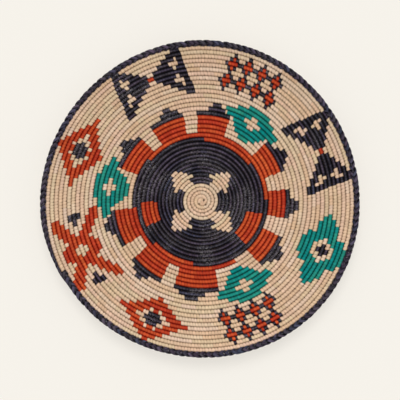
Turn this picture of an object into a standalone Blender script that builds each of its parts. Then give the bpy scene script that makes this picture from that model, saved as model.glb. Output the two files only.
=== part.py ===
"""Coiled basketry wall plate, built from its separately worked pieces.

A bundle of grass is wound into one flat spiral from the middle to the rim. Each turn is wrapped
with a flat strand that is also stitched through the turn inside it, so the turns stand up as
ribs on both faces with a groove between them. Where the strand changes colour a new strand is
started, and each such area is a piece of its own. The last turn is bound with a braid.

Metres, +Z out of the decorated face, +Y towards the plate's top. The origin lies on the
resting face, under the middle of the coil. Bearings are degrees counter-clockwise from +Y,
the way the coil winds outwards. A turn number counts the grooves passed from the middle, and
rows are numbered by their turn number at bearing 0.
"""
import math

import bmesh
import bpy

# The coil
FIRST_GROOVE_RADIUS = 0.0036
INNER_ROW_WIDTH = 0.00435
OUTER_ROW_WIDTH = 0.00524
WIDENING_START_TURN = 9
WIDENING_END_TURN = 18
COIL_THICKNESS = 0.0050
GROOVE_THICKNESS = 0.0016
COIL_START_TURN = 0.5
COIL_END_BEARING = 117
FIELD_END_ROW = 37
END_TAPER_ANGLE = 25
END_TAPER_SHARE = 0.5

# The dish: a level base, then a rise along an arc
BASE_RADIUS = 0.080
DISH_RADIUS = 0.268
WORN_DEPTH = 0.0005
HAND_WOBBLE = 0.0014
WOBBLE_LOBES = 3
WOBBLE_BEARING = 110

# The rim
RIM_CORE_RADIUS = 0.0024
BRAID_THICKNESS = 0.0012
BRAID_WRAP_ANGLE = 136
BRAID_FACETS = 6

CLEARANCE = 0.0003

# The pattern: rows and bearings where the strand changes colour
CENTRE_END_ROW = 4
CENTRE_END_BEARING = 235
RING_SEAM_BEARING = 210
BASE_ROW = 16
RING_ROW = BASE_ROW + 1
BLOCK_ROWS = 4
TERRACE_ROWS = 3
DISC_BLOCK_ROW = 12
DISC_BLOCK_ROWS = 4
DISC_BLOCKS = ((91, 115), (226, 258))
BASE_RUST_ARCS = ((271, 412), (456, 570))

# Each block of the ring: its start, the starts of the second and third step of its terrace, the
# ends of the third and second step, and its end
RING_BLOCKS = (
    (223, 228, 232, 238, 240, 246),
    (258, 262, 264, 270, 272, 278),
    (290, 294, 297, 302, 305, 312),
    (341, 345, 348, 353, 356, 363),
    (372, 375, 379, 384, 387, 395),
    (404, 408, 411, 416, 419, 428),
    (456, 460, 463, 468, 471, 480),
    (490, 494, 498, 502, 505, 513),
    (522, 526, 530, 538, 542, 551),
)

# Largest angle between two stations along a row
CENTRE_STEP = 22.5
DISC_STEP = 18
BASE_ROW_STEP = 12
RING_STEP = 12
FIELD_STEP = 9.5

# Colours of the strands, as linear red, green, blue
NATURAL = (0.62, 0.44, 0.29)
NAVY = (0.035, 0.032, 0.045)
RUST = (0.55, 0.10, 0.035)
STRAND_ROUGHNESS = 0.8

MID_HEIGHT = COIL_THICKNESS / 2 - WORN_DEPTH
CENTRE_END_TURN = CENTRE_END_ROW + CENTRE_END_BEARING / 360
FIELD_ROW = RING_ROW + BLOCK_ROWS + TERRACE_ROWS
FIELD_START_TURN = FIELD_ROW + RING_SEAM_BEARING / 360
FIELD_END_TURN = FIELD_END_ROW + COIL_END_BEARING / 360
RIM_END_TURN = FIELD_END_TURN + 1
BRAID_RADIUS = RIM_CORE_RADIUS + CLEARANCE + BRAID_THICKNESS
WELD_DISTANCE = 0.000001


def remove_old_objects():
    """Clear whatever the open scene holds."""
    for old in list(bpy.data.objects):
        bpy.data.objects.remove(old, do_unlink=True)


def new_collection(name):
    collection = bpy.data.collections.new(name)
    bpy.context.scene.collection.children.link(collection)
    return collection


def strand_material(name, colour):
    """A dry, matt plant fibre of one dye."""
    material = bpy.data.materials.new(name)
    material.use_nodes = True
    shader = material.node_tree.nodes["Principled BSDF"]
    shader.inputs["Base Color"].default_value = (*colour, 1.0)
    shader.inputs["Roughness"].default_value = STRAND_ROUGHNESS
    shader.inputs["Metallic"].default_value = 0.0
    material.diffuse_color = (*colour, 1.0)
    return material


def groove_distance(turn):
    """Distance along the plate's surface from the middle to the groove at a turn number.

    Rows are narrow in the middle and reach their full width over the widening turns.
    """
    span = WIDENING_END_TURN - WIDENING_START_TURN
    share = min(max((turn - WIDENING_START_TURN) / span, 0.0), 1.0)
    widened_turns = span * (share ** 3 - share ** 4 / 2) + max(turn - WIDENING_END_TURN, 0.0)
    extra_width = OUTER_ROW_WIDTH - INNER_ROW_WIDTH
    return FIRST_GROOVE_RADIUS + (turn - 1) * INNER_ROW_WIDTH + extra_width * widened_turns


def on_plate(distance, bearing, height=0.0):
    """The point at a distance along the surface, a bearing, and a height above the mid surface."""
    slope = max(distance - BASE_RADIUS, 0.0) / DISH_RADIUS
    radius = min(distance, BASE_RADIUS) + (DISH_RADIUS - height) * math.sin(slope)
    z = MID_HEIGHT + DISH_RADIUS - (DISH_RADIUS - height) * math.cos(slope)
    share_of_reach = distance / groove_distance(RIM_END_TURN)
    lobes = math.cos(math.radians(WOBBLE_LOBES * (bearing - WOBBLE_BEARING)))
    radius += HAND_WOBBLE * share_of_reach ** 2 * lobes
    angle = math.radians(bearing)
    return (-radius * math.sin(angle), radius * math.cos(angle), z)


def stations(edges, largest_step):
    """Bearings from the first edge to the last, through every edge, in steps no larger than given."""
    bearings = [edges[0]]
    for start, end in zip(edges, edges[1:]):
        count = max(1, math.ceil((end - start) / largest_step - 0.001))
        bearings += [start + (end - start) * (i + 1) / count for i in range(count)]
    return bearings


def wound_stations(edges, largest_step, first_turn, last_turn):
    """Stations of every turn from first_turn to last_turn, as bearings that keep counting up.

    The same stations come back in each turn, so neighbouring turns meet point to point.
    """
    one_turn = stations(sorted(edges) + [min(edges) + 360], largest_step)[:-1]
    start, end = first_turn * 360, last_turn * 360
    bearings = []
    for turn in range(math.floor(first_turn) - 1, math.ceil(last_turn) + 1):
        bearings += [turn * 360 + bearing for bearing in one_turn]
    return [b for b in bearings if start - 0.001 <= b <= end + 0.001]


def flat_grid(columns, rows):
    """A grid of cells with its corner at the origin and cells one unit wide, and its bmesh."""
    grid = bmesh.new()
    bmesh.ops.create_grid(grid, x_segments=columns, y_segments=rows, size=0.5)
    for vertex in grid.verts:
        vertex.co.x = (vertex.co.x + 0.5) * columns
        vertex.co.y = (vertex.co.y + 0.5) * rows
    return grid


def leave_out(grid, is_left_out):
    """Delete the half rows whose row and column is_left_out names."""
    dropped = []
    for face in grid.faces:
        centre = face.calc_center_median()
        if is_left_out(int(centre.y) // 2, int(centre.x)):
            dropped.append(face)
    bmesh.ops.delete(grid, geom=dropped, context="FACES")


def wind_onto_plate(grid, first_row, bearings):
    """Carry a flat grid onto the plate, two cells across each row, and mark the crests."""
    weights = grid.verts.layers.deform.verify()
    for vertex in grid.verts:
        column = round(vertex.co.x)
        half_row = round(vertex.co.y)
        turn = first_row + half_row / 2 + bearings[column] / 360
        vertex[weights][0] = float(half_row % 2)
        vertex.co = on_plate(groove_distance(turn), bearings[column])
    bmesh.ops.remove_doubles(grid, verts=grid.verts[:], dist=WELD_DISTANCE)


def clear_facets(grid):
    """Push each inner edge out by the depth of its facet, clear of the true curve inside it."""
    pushes = {}
    for edge in grid.edges:
        if not edge.is_boundary:
            continue
        near, far = (vertex.co.xy for vertex in edge.verts)
        middle = (near + far) / 2
        if edge.link_faces[0].calc_center_median().xy.length < middle.length:
            continue
        depth = (near.length + far.length) / 2 - middle.length
        for vertex in edge.verts:
            pushes[vertex] = max(depth, pushes.get(vertex, 0.0))
    for vertex, depth in pushes.items():
        vertex.co.xy *= 1 + depth / vertex.co.xy.length


def trim_edges(grid):
    """Draw every open edge in by half the clearance, so that neighbouring pieces don't touch."""
    border = bmesh.ops.inset_region(
        grid, faces=grid.faces[:], use_boundary=True, use_even_offset=True, thickness=CLEARANCE / 2)
    bmesh.ops.delete(grid, geom=border["faces"], context="FACES")


def add_object(name, grid, collection, material):
    """Turn a bmesh into a named object with its own material."""
    bmesh.ops.recalc_face_normals(grid, faces=grid.faces[:])
    if sum(face.normal.z * face.calc_area() for face in grid.faces) < 0:
        bmesh.ops.reverse_faces(grid, faces=grid.faces[:])
    mesh = bpy.data.meshes.new(name)
    grid.to_mesh(mesh)
    grid.free()
    mesh.materials.append(material)
    obj = bpy.data.objects.new(name, mesh)
    collection.objects.link(obj)
    return obj


def give_thickness(obj):
    """Thick along the crests and thin along the grooves, on both faces alike."""
    obj.vertex_groups.new(name="crest")
    solidify = obj.modifiers.new("coil_thickness", "SOLIDIFY")
    solidify.thickness = COIL_THICKNESS
    solidify.offset = 0.0
    solidify.vertex_group = "crest"
    solidify.thickness_vertex_group = GROOVE_THICKNESS / COIL_THICKNESS


def wear_flat(obj, resting_plane):
    """Cut off what would reach below the resting plane."""
    cut = obj.modifiers.new("worn_base", "BOOLEAN")
    cut.operation = "DIFFERENCE"
    cut.solver = "EXACT"
    cut.object = resting_plane


def coil_piece(name, first_row, row_count, bearings, colour, plate, resting_plane=None, is_left_out=None):
    """One area of ribbed coil, whose rows run from the first bearing to the last."""
    grid = flat_grid(len(bearings) - 1, row_count * 2)
    if is_left_out:
        leave_out(grid, is_left_out)
    wind_onto_plate(grid, first_row, bearings)
    clear_facets(grid)
    trim_edges(grid)
    obj = add_object(name, grid, plate, strand_material(name, colour))
    give_thickness(obj)
    if resting_plane:
        wear_flat(obj, resting_plane)
    return obj


def resting_plane_cutter(cutters):
    """A slab whose upper face is the plane that the plate rests on."""
    slab_size = 3 * groove_distance(RIM_END_TURN)
    grid = bmesh.new()
    bmesh.ops.create_cube(grid, size=slab_size)
    bmesh.ops.translate(grid, verts=grid.verts[:], vec=(0, 0, -slab_size / 2))
    obj = add_object("resting_plane", grid, cutters, strand_material("resting_plane", NAVY))
    obj.hide_render = True
    obj.display_type = "WIRE"
    return obj


def make_start_knot(plate, resting_plane):
    """The bundle's first half turn, bent onto itself and bound, domed on both faces."""
    bearings = wound_stations((0, 180), CENTRE_STEP, COIL_START_TURN, COIL_START_TURN + 1)
    grid = bmesh.new()
    weights = grid.verts.layers.deform.verify()
    middle = grid.verts.new(on_plate(INNER_ROW_WIDTH / 4, 90))
    middle[weights][0] = 1.0
    outline = []
    for bearing in bearings:
        vertex = grid.verts.new(on_plate(groove_distance(bearing / 360), bearing))
        vertex[weights][0] = 0.0
        outline.append(vertex)
    for near, far in zip(outline, outline[1:] + outline[:1]):
        grid.faces.new((middle, near, far))
    trim_edges(grid)
    obj = add_object("start_knot", grid, plate, strand_material("start_knot", NATURAL))
    give_thickness(obj)
    wear_flat(obj, resting_plane)


def make_centre(plate, resting_plane):
    """The natural rows round the knot."""
    edges = (180, CENTRE_END_BEARING)
    bearings = wound_stations(edges, CENTRE_STEP, COIL_START_TURN, CENTRE_END_TURN)
    coil_piece("centre_coil", 0, 1, bearings, NATURAL, plate, resting_plane)


def make_navy_disc(plate, resting_plane):
    """The dark rows round the centre, with two rust blocks let into them."""
    edges = [RING_SEAM_BEARING, CENTRE_END_BEARING]
    for start, end in DISC_BLOCKS:
        edges += [start, end]
    last_turn = BASE_ROW + RING_SEAM_BEARING / 360
    bearings = wound_stations(edges, DISC_STEP, CENTRE_END_TURN, last_turn)

    def in_a_block(_row, column):
        middle = (bearings[column] + bearings[column + 1]) / 2
        row, bearing = divmod(middle, 360)
        in_rows = DISC_BLOCK_ROW <= row < DISC_BLOCK_ROW + DISC_BLOCK_ROWS
        return in_rows and any(start < bearing < end for start, end in DISC_BLOCKS)

    coil_piece("navy_disc", 0, 1, bearings, NAVY, plate, resting_plane, in_a_block)
    for number, block in enumerate(DISC_BLOCKS, 1):
        coil_piece(f"disc_block_{number}", DISC_BLOCK_ROW, DISC_BLOCK_ROWS, stations(block, DISC_STEP),
                   RUST, plate, resting_plane)


def make_base_row(plate, resting_plane):
    """The single row under the ring: rust in two long arcs, navy between them."""
    first, last = RING_SEAM_BEARING, RING_SEAM_BEARING + 360
    edges = sorted({first, last}.union(*BASE_RUST_ARCS))
    counts = {"navy": 0, "rust": 0}
    for start, end in zip(edges, edges[1:]):
        dye = "rust" if (start, end) in BASE_RUST_ARCS else "navy"
        counts[dye] += 1
        coil_piece(f"base_row_{dye}_{counts[dye]}", BASE_ROW, 1, stations((start, end), BASE_ROW_STEP),
                   RUST if dye == "rust" else NAVY, plate, resting_plane)


def make_ring_blocks(plate, resting_plane):
    """The rust blocks and the navy steps that stand on them."""
    for number, block in enumerate(RING_BLOCKS, 1):
        bearings = stations((block[0], block[-1]), RING_STEP)
        coil_piece(f"rust_block_{number}", RING_ROW, BLOCK_ROWS, bearings, RUST, plate, resting_plane)

        def beside_the_step(row, column):
            return not row <= column <= 4 - row

        coil_piece(f"terrace_{number}", RING_ROW + BLOCK_ROWS, TERRACE_ROWS, block, NAVY, plate,
                   None, beside_the_step)


def make_gap(number, start, end, before, after, plate, resting_plane):
    """The natural area between two blocks, which widens over the steps of each.

    before and after are the blocks at its sides, or None where the gap ends at the seam.
    """
    lead = list(before[3:5]) if before else []
    tail = list(after[1:3]) if after else []
    middle = stations((start, end), RING_STEP)
    bearings = lead + middle + tail

    def under_a_step(row, column):
        reach = max(0, row - BLOCK_ROWS)
        first_kept = max(0, len(lead) - reach)
        last_kept = len(bearings) - 2 - max(0, len(tail) - reach)
        return not first_kept <= column <= last_kept

    coil_piece(f"natural_gap_{number}", RING_ROW, BLOCK_ROWS + TERRACE_ROWS, bearings, NATURAL,
               plate, resting_plane, under_a_step)


def make_gaps(plate, resting_plane):
    """Every natural area of the ring, from the seam round to the seam."""
    befores = (None,) + RING_BLOCKS
    afters = RING_BLOCKS + (None,)
    for number, (before, after) in enumerate(zip(befores, afters), 1):
        start = before[-1] if before else RING_SEAM_BEARING
        end = after[0] if after else RING_SEAM_BEARING + 360
        make_gap(number, start, end, before, after, plate, resting_plane)


def make_field(plate):
    """The natural rows from the ring to the rim."""
    edges = (COIL_END_BEARING, RING_SEAM_BEARING)
    bearings = wound_stations(edges, FIELD_STEP, FIELD_START_TURN, FIELD_END_TURN)
    coil_piece("field_coil", 0, 1, bearings, NATURAL, plate)


def rim_stations():
    """Bearings of the last turn, with half the clearance left free at both of its ends."""
    edges = (COIL_END_BEARING, RING_SEAM_BEARING)
    bearings = wound_stations(edges, FIELD_STEP, FIELD_END_TURN, RIM_END_TURN)
    end_gap = math.degrees(CLEARANCE / 2 / groove_distance(FIELD_END_TURN))
    return [bearings[0] + end_gap] + bearings[1:-1] + [bearings[-1] - end_gap]


def rim_taper(bearing):
    """Share of the full row width that is left at a bearing, less over the coil's last stretch."""
    before_end = RIM_END_TURN * 360 - bearing
    along = 1 - min(before_end / END_TAPER_ANGLE, 1.0)
    return 1 - END_TAPER_SHARE * along * along * (3 - 2 * along)


def rim_centre_distance(bearing):
    """Distance along the surface to the middle of the last turn."""
    return groove_distance(bearing / 360) + OUTER_ROW_WIDTH / 2 * rim_taper(bearing)


def make_rim_core(plate):
    """The coil's last turn, a round bundle that thins out at its end."""
    curve = bpy.data.curves.new("rim_core", "CURVE")
    curve.dimensions = "3D"
    curve.bevel_depth = RIM_CORE_RADIUS
    curve.bevel_resolution = 1
    curve.use_fill_caps = True
    bearings = rim_stations()
    spline = curve.splines.new("POLY")
    spline.points.add(len(bearings) - 1)
    for point, bearing in zip(spline.points, bearings):
        point.co = (*on_plate(rim_centre_distance(bearing), bearing), 1.0)
        point.radius = rim_taper(bearing)
    curve.materials.append(strand_material("rim_core", NATURAL))
    obj = bpy.data.objects.new("rim_core", curve)
    plate.objects.link(obj)


def make_rim_braid(plate):
    """The braid bound over the last turn, open on the side of the turn inside it."""
    bearings = rim_stations()
    grid = flat_grid(len(bearings) - 1, BRAID_FACETS)
    for vertex in grid.verts:
        bearing = bearings[round(vertex.co.x)]
        around = math.radians(BRAID_WRAP_ANGLE * (2 * vertex.co.y / BRAID_FACETS - 1))
        radius = BRAID_RADIUS * rim_taper(bearing)
        distance = rim_centre_distance(bearing) + radius * math.cos(around)
        vertex.co = on_plate(distance, bearing, radius * math.sin(around))
    obj = add_object("rim_braid", grid, plate, strand_material("rim_braid", NAVY))
    shell = obj.modifiers.new("braid_thickness", "SOLIDIFY")
    shell.thickness = BRAID_THICKNESS * (1 - END_TAPER_SHARE)
    shell.offset = -1.0


def main():
    remove_old_objects()
    plate = new_collection("woven_wall_plate")
    cutters = new_collection("cutters")
    resting_plane = resting_plane_cutter(cutters)
    make_start_knot(plate, resting_plane)
    make_centre(plate, resting_plane)
    make_navy_disc(plate, resting_plane)
    make_base_row(plate, resting_plane)
    make_ring_blocks(plate, resting_plane)
    make_gaps(plate, resting_plane)
    make_field(plate)
    make_rim_core(plate)
    make_rim_braid(plate)


main()
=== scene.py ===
"""Looks of the coiled basketry wall plate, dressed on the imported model.

Every row of the coil is covered by single wraps of a flat strand, each a closed band round the
grass bundle that leans a little and tucks in between the wraps of the row inside it. The wraps
are modelled once and wound along the same spiral and dish as the solids, in lengths in metres
and bearings in degrees, counted counter-clockwise from the plate's top and on through every
turn. A lap is one turn from the seam bearing round to the seam bearing again.
"""
from __future__ import annotations

import logging
import math
from dataclasses import dataclass, field, replace
from enum import Enum
from itertools import groupby
from typing import Iterable, Sequence

import bmesh
import bpy
import numpy as np
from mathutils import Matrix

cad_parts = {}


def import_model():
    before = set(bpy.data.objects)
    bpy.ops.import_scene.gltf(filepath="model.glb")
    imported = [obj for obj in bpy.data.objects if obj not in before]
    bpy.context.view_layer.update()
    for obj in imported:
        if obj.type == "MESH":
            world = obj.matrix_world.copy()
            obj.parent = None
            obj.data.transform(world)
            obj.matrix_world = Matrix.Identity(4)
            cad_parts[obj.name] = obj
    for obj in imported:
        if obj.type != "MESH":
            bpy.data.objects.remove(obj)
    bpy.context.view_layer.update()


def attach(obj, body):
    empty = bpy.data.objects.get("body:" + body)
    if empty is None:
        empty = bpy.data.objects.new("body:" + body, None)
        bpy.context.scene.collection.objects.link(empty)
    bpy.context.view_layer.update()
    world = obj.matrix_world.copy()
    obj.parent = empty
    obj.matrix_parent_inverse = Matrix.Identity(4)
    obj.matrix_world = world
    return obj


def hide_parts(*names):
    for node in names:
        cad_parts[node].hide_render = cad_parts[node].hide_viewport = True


log = logging.getLogger("wall_plate")

FULL_TURN = 360.0
SEAM_BEARING = 210.0
MAP_NAME = "strand_map"
MAP_SHIFTS = 64
# A difference smaller than this comes from rounding alone.
ROUNDING = 1e-6
# A tube is one long, and past this distance from its middle only its ends are found.
END_REACH = 0.45
# Most of what a noise pattern gives lies between these.
NOISE_RANGE = (0.3, 0.7)
# The colour sockets of a Mix node go by number, because others share their names.
MIX_SOCKETS = (0, 6, 7)
MIX_RESULT = 2

Colour = tuple[float, float, float]
ScreenColour = tuple[int, int, int]
Socket = bpy.types.NodeSocket


def linear(shade: ScreenColour) -> Colour:
    """Turn a screen colour into the linear one that a shader takes.

    Args:
        shade: Red, green and blue from 0 to 255.

    Returns:
        The colour as linear red, green and blue.
    """
    parts = []
    for channel in shade:
        share = channel / 255
        parts.append(share / 12.92 if share <= 0.04045 else ((share + 0.055) / 1.055) ** 2.4)
    return parts[0], parts[1], parts[2]


def jitter(chance: np.random.Generator, width: float, count: int | None = None) -> np.ndarray | float:
    """Draw one number or several from minus to plus a width."""
    return width * (2 * chance.random(count) - 1)


def uneven_steps(start: float, end: float, count: int, spread: float,
                 chance: np.random.Generator) -> tuple[np.ndarray, np.ndarray]:
    """Part a stretch into steps that differ a little.

    Args:
        start: Where the stretch starts.
        end: Where it ends.
        count: How many steps it has.
        spread: By what share their widths differ.
        chance: Draws the widths.

    Returns:
        The steps' middles and their widths.
    """
    shares = 1.0 + jitter(chance, spread, count)
    edges = np.concatenate(([0.0], np.cumsum(shares / shares.sum())))
    edges = start + (end - start) * edges
    return (edges[:-1] + edges[1:]) / 2, np.diff(edges)


class Dye(Enum):
    """The dyes of the strands, by the record's material slots."""

    NATURAL = "natural_strand"
    NAVY = "navy_strand"
    RUST = "rust_strand"
    TEAL = "teal_strand"


CHART_DYES = {"W": Dye.NATURAL, "N": Dye.NAVY, "R": Dye.RUST, "T": Dye.TEAL}


@dataclass(frozen=True)
class CoilPath:
    """The spiral that all rows follow and the dish that carries it, as in the solids."""

    first_groove: float = 0.0036
    inner_row_width: float = 0.00435
    outer_row_width: float = 0.00524
    widening_start: float = 9.0
    widening_end: float = 18.0
    half_thickness: float = 0.0025
    worn_depth: float = 0.0005
    base_radius: float = 0.080
    worn_fade: float = 0.020
    dish_radius: float = 0.268
    wobble: float = 0.0014
    wobble_lobes: int = 3
    wobble_bearing: float = 110.0
    start: float = 180.0
    rim_start: float = 37.0 * FULL_TURN + 117.0
    end_taper_angle: float = 25.0
    end_taper_share: float = 0.5
    tail_angle: float = 9.0
    tail_taper_share: float = 0.85
    tail_tuck: float = 0.0009

    @property
    def mid_height(self) -> float:
        """Height of the coil's mid surface over the level base."""
        return self.half_thickness - self.worn_depth

    @property
    def end(self) -> float:
        """Bearing at which the bound last turn, and with it the coil, ends."""
        return self.rim_start + FULL_TURN

    def groove(self, turn: np.ndarray) -> np.ndarray:
        """Give the distance along the surface from the middle to a groove.

        Args:
            turn: Turn numbers, counted from the middle.

        Returns:
            The distances in metres.
        """
        span = self.widening_end - self.widening_start
        share = np.clip((turn - self.widening_start) / span, 0.0, 1.0)
        widened = span * (share ** 3 - share ** 4 / 2) + np.maximum(turn - self.widening_end, 0.0)
        extra_width = self.outer_row_width - self.inner_row_width
        return self.first_groove + (turn - 1.0) * self.inner_row_width + extra_width * widened

    def slope(self, distance: np.ndarray) -> np.ndarray:
        """Give how steep the dish is at distances from the middle, in radians."""
        return np.maximum(distance - self.base_radius, 0.0) / self.dish_radius

    def place(self, distance: np.ndarray, bearing: np.ndarray, height: np.ndarray) -> np.ndarray:
        """Carry points onto the plate.

        Args:
            distance: Distances along the surface from the middle.
            bearing: Bearings in degrees.
            height: Heights above the mid surface.

        Returns:
            The points, with x, y and z in the last axis.
        """
        slope = self.slope(distance)
        radius = np.minimum(distance, self.base_radius) + (self.dish_radius - height) * np.sin(slope)
        z = self.mid_height + self.dish_radius - (self.dish_radius - height) * np.cos(slope)
        reach = distance / self.groove(self.end / FULL_TURN)
        lobes = np.cos(np.radians(self.wobble_lobes * (bearing - self.wobble_bearing)))
        radius = radius + self.wobble * reach ** 2 * lobes
        angle = np.radians(bearing)
        return np.stack((-radius * np.sin(angle), radius * np.cos(angle), z), axis=-1)

    def row_radius(self, bearing: float) -> float:
        """Give how far from the plate's axis the middle of the row outside a bearing is."""
        distance = self.groove(bearing / FULL_TURN + 0.5)
        return float(np.minimum(distance, self.base_radius) + self.dish_radius * np.sin(self.slope(distance)))

    def angle_of(self, length: float, bearing: float) -> float:
        """Give the angle in degrees that a length of row covers at a bearing."""
        return math.degrees(length / self.row_radius(bearing))

    def back_share(self, distance: np.ndarray) -> np.ndarray:
        """Give how much of its full height a row has on the back, where the base is worn level.

        Args:
            distance: Distances along the surface from the middle.

        Returns:
            The shares, from the worn one on the base to one a little way up the dish.
        """
        risen = np.clip((distance - self.base_radius) / self.worn_fade, 0.0, 1.0)
        worn = self.mid_height / self.half_thickness
        return worn + (1.0 - worn) * risen

    def into_tail(self, bearing: np.ndarray) -> np.ndarray:
        """Give how far into the tail bearings are, from 0 at the coil's end to 1."""
        return np.clip((bearing - self.end) / self.tail_angle, 0.0, 1.0)

    def rim_taper(self, bearing: np.ndarray) -> np.ndarray:
        """Give the share of the row width that is left towards the coil's end and in the tail.

        Args:
            bearing: Bearings in degrees.

        Returns:
            The shares.
        """
        along = 1.0 - np.clip((self.end - bearing) / self.end_taper_angle, 0.0, 1.0)
        to_end = 1.0 - self.end_taper_share * along * along * (3.0 - 2.0 * along)
        return to_end * (1.0 - self.tail_taper_share * self.into_tail(bearing))

    def rim_centre(self, bearing: np.ndarray) -> np.ndarray:
        """Give the distance along the surface to the middle of the bound last turn."""
        half_width = self.outer_row_width / 2 * self.rim_taper(bearing)
        return self.groove(bearing / FULL_TURN) + half_width - self.tail_tuck * self.into_tail(bearing)


@dataclass(frozen=True)
class WrapRun:
    """Wraps of one dye, side by side along a row."""

    start: float
    end: float
    piece: str
    dye: Dye
    count: int = 0


@dataclass(frozen=True)
class Area:
    """A stretch of bearings over a number of laps that one piece covers."""

    piece: str
    dye: Dye
    first_lap: int
    laps: int
    start: float
    end: float

    def runs(self) -> list[WrapRun]:
        """List the area's rows as runs of wraps."""
        turned = [lap * FULL_TURN for lap in range(self.first_lap, self.first_lap + self.laps)]
        return [WrapRun(turn + self.start, turn + self.end, self.piece, self.dye) for turn in turned]


@dataclass(frozen=True)
class Motif:
    """A stepped figure counted in wraps and rows, and mirrored about its middle line.

    The chart's lines go from the outermost row inwards, each from the figure's side to its
    middle. A full stop leaves the ground as it is.
    """

    chart: Sequence[str]
    bearing: float
    inner_lap: int
    pieces: dict[str, str]

    def runs(self, coil: CoilPath, wrap_length: float) -> list[WrapRun]:
        """Lay the figure out along the coil.

        Args:
            coil: The coil's path.
            wrap_length: Length of row that one wrap covers.

        Returns:
            One run for each stretch of one dye in each row.
        """
        laid = []
        for row, line in enumerate(reversed(self.chart)):
            middle = (self.inner_lap + row) * FULL_TURN + self.bearing
            step = coil.angle_of(wrap_length, middle)
            edge = middle - step * len(line)
            column = 0
            for mark, cells in groupby(line + line[::-1]):
                width = len(list(cells))
                if mark != ".":
                    laid.append(WrapRun(edge + step * column, edge + step * (column + width),
                                        self.pieces[mark], CHART_DYES[mark], width))
                column += width
        return laid


def lay_over(runs: Iterable[WrapRun], cover: WrapRun) -> list[WrapRun]:
    """Put one run in the place of whatever lies under it.

    Args:
        runs: The runs so far.
        cover: The run that goes over them.

    Returns:
        The runs with the covered stretches cut away, and the cover last.
    """
    sliver = 0.001
    kept = []
    for run in runs:
        if run.end <= cover.start + sliver or run.start >= cover.end - sliver:
            kept.append(run)
            continue
        if run.start < cover.start - sliver:
            kept.append(replace(run, end=cover.start, count=0))
        if run.end > cover.end + sliver:
            kept.append(replace(run, start=cover.end, count=0))
    kept.append(cover)
    return kept


def deselect_all() -> None:
    """Leave nothing selected, so that an operator acts only on what is chosen next."""
    bpy.ops.object.select_all(action="DESELECT")


def choose(tube: bpy.types.Object, kind: str, ends: bool) -> None:
    """Select the vertices, or the edges by their middles, at a tube's ends or between them.

    Args:
        tube: The tube along X, in edit mode.
        kind: VERT to select vertices, or EDGE to select edges.
        ends: Whether those at the ends are selected, or else the others.
    """
    bpy.ops.mesh.select_mode(type=kind)
    bpy.ops.mesh.select_all(action="DESELECT")
    sketch = bmesh.from_edit_mesh(tube.data)
    for part in sketch.verts if kind == "VERT" else sketch.edges:
        points = (part,) if kind == "VERT" else part.verts
        middle = sum(point.co.x for point in points) / len(points)
        part.select_set((abs(middle) > END_REACH) == ends)
    sketch.select_flush_mode()
    bmesh.update_edit_mesh(tube.data)


def start_tube(facets: int, ends: str) -> bpy.types.Object:
    """Add a cylinder along X, one long and one in radius, with its long edges chosen for editing.

    Args:
        facets: How many sides it has.
        ends: How its ends are filled, NOTHING or NGON.

    Returns:
        The cylinder, in edit mode.
    """
    deselect_all()
    bpy.ops.mesh.primitive_cylinder_add(
        vertices=facets, radius=1.0, depth=1.0, end_fill_type=ends,
        location=(0.0, 0.0, 0.0), rotation=(0.0, math.pi / 2, 0.0))
    bpy.ops.object.transform_apply(location=False, rotation=True, scale=False)
    bpy.ops.object.mode_set(mode="EDIT")
    choose(bpy.context.object, "EDGE", ends=False)
    return bpy.context.object


def resize_chosen(along: float, across: float) -> None:
    """Scale what is selected about the origin, along X and across it."""
    bpy.ops.transform.resize(value=(along, across, across), center_override=(0.0, 0.0, 0.0))


def finish_editing() -> None:
    """Turn all faces outwards and leave edit mode."""
    bpy.ops.mesh.select_all(action="SELECT")
    bpy.ops.mesh.normals_make_consistent(inside=False)
    bpy.ops.object.mode_set(mode="OBJECT")


@dataclass
class PieceMesh:
    """What a finished mesh is made from: points, faces, their map, and values for its materials."""

    points: np.ndarray
    faces: list[Sequence[int]]
    uv: np.ndarray
    values: dict[str, np.ndarray] = field(default_factory=dict)

    def joined(self, other: PieceMesh) -> PieceMesh:
        """Join another mesh with the same kinds of values to this one.

        Args:
            other: The mesh that comes after it.

        Returns:
            The mesh of both.
        """
        moved = [[index + len(self.points) for index in face] for face in other.faces]
        values = {name: np.concatenate((kept, other.values[name])) for name, kept in self.values.items()}
        return PieceMesh(np.concatenate((self.points, other.points)), self.faces + moved,
                         np.concatenate((self.uv, other.uv)), values)


@dataclass
class StrandShape:
    """The mesh of one modelled strand, which can be laid again and again."""

    points: np.ndarray
    faces: list[tuple[int, ...]]

    @classmethod
    def taken_from(cls, obj: bpy.types.Object) -> StrandShape:
        """Take the mesh of a modelled object and remove the object.

        Args:
            obj: The modelled object, at the origin.

        Returns:
            Its points and faces.
        """
        mesh = obj.data
        points = np.array([vertex.co[:] for vertex in mesh.vertices], float)
        faces = [tuple(face.vertices) for face in mesh.polygons]
        bpy.data.objects.remove(obj, do_unlink=True)
        bpy.data.meshes.remove(mesh)
        return cls(points, faces)

    def laid(self, points: np.ndarray, map_once: np.ndarray, shifts: np.ndarray, tone: np.ndarray,
             lot: np.ndarray, depth: np.ndarray) -> PieceMesh:
        """Make one mesh of copies of the strand.

        Args:
            points: The points of each copy in place.
            map_once: The map of one copy, by the corners of its faces.
            shifts: How far the map of each copy is moved.
            tone: Each copy's own shade, from 0 to 1.
            lot: The shade of the strand that each copy belongs to, from 0 to 1.
            depth: How much painted shade points get, from 0 to 1, for one copy or for each.

        Returns:
            The mesh of all the copies.
        """
        count, size = points.shape[:2]
        firsts = range(0, count * size, size)
        faces = [[index + first for index in face] for first in firsts for face in self.faces]
        values = {"tone": np.repeat(tone, size), "lot": np.repeat(lot, size),
                  "depth": np.broadcast_to(depth, (count, size)).ravel()}
        return PieceMesh(points.reshape(-1, 3), faces, (map_once + shifts).reshape(-1, 2), values)


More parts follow.
